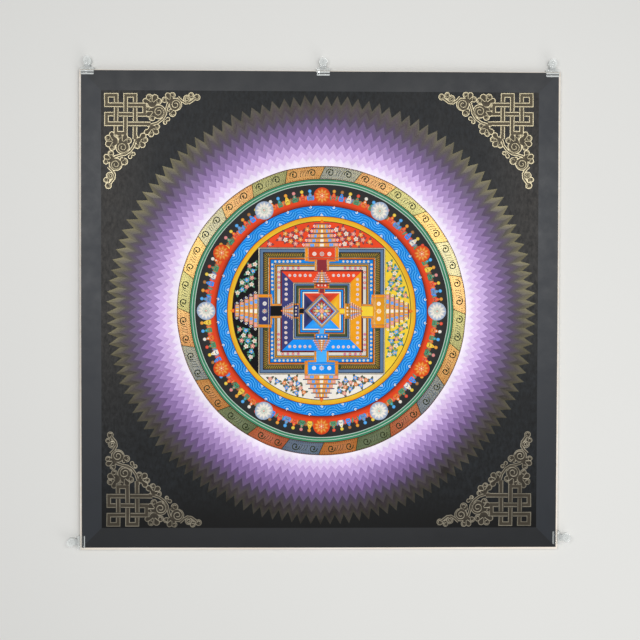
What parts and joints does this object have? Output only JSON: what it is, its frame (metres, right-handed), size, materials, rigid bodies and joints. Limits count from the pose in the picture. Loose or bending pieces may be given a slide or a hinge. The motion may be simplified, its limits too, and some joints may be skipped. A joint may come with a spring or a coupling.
{
  "type": "mandala painting on canvas with clip-on backing board",
  "caption": "Square painted cotton canvas with a round mandala on a dark field, held by small clear spring clips on a thin plywood board.",
  "frame": {"origin": "on the surface the painting lies on, under the middle of the whole outline, clips included", "axes": "+Z is the way the painted face looks, +Y points to the top of the painting, +X to its right as seen from the front"},
  "size_m": [0.637, 0.62, 0.0131],
  "materials": {
    "painted_canvas": "matt mineral paint on primed cotton canvas",
    "plywood": "pale sanded plywood",
    "clear_plastic": "clear moulded plastic",
    "spring_steel": "bright drawn wire"
  },
  "bodies": {
    "root": {"board": "plywood", "canvas": "painted_canvas", "clip_top_left_back": "clear_plastic", "clip_top_left_front": "clear_plastic", "clip_top_left_spring": "spring_steel", "clip_top_middle_back": "clear_plastic", "clip_top_middle_front": "clear_plastic", "clip_top_middle_spring": "spring_steel", "clip_top_right_back": "clear_plastic", "clip_top_right_front": "clear_plastic", "clip_top_right_spring": "spring_steel", "clip_lower_left_back": "clear_plastic", "clip_lower_left_front": "clear_plastic", "clip_lower_left_spring": "spring_steel", "clip_lower_right_back": "clear_plastic", "clip_lower_right_front": "clear_plastic", "clip_lower_right_spring": "spring_steel"}
  },
  "joints": []
}
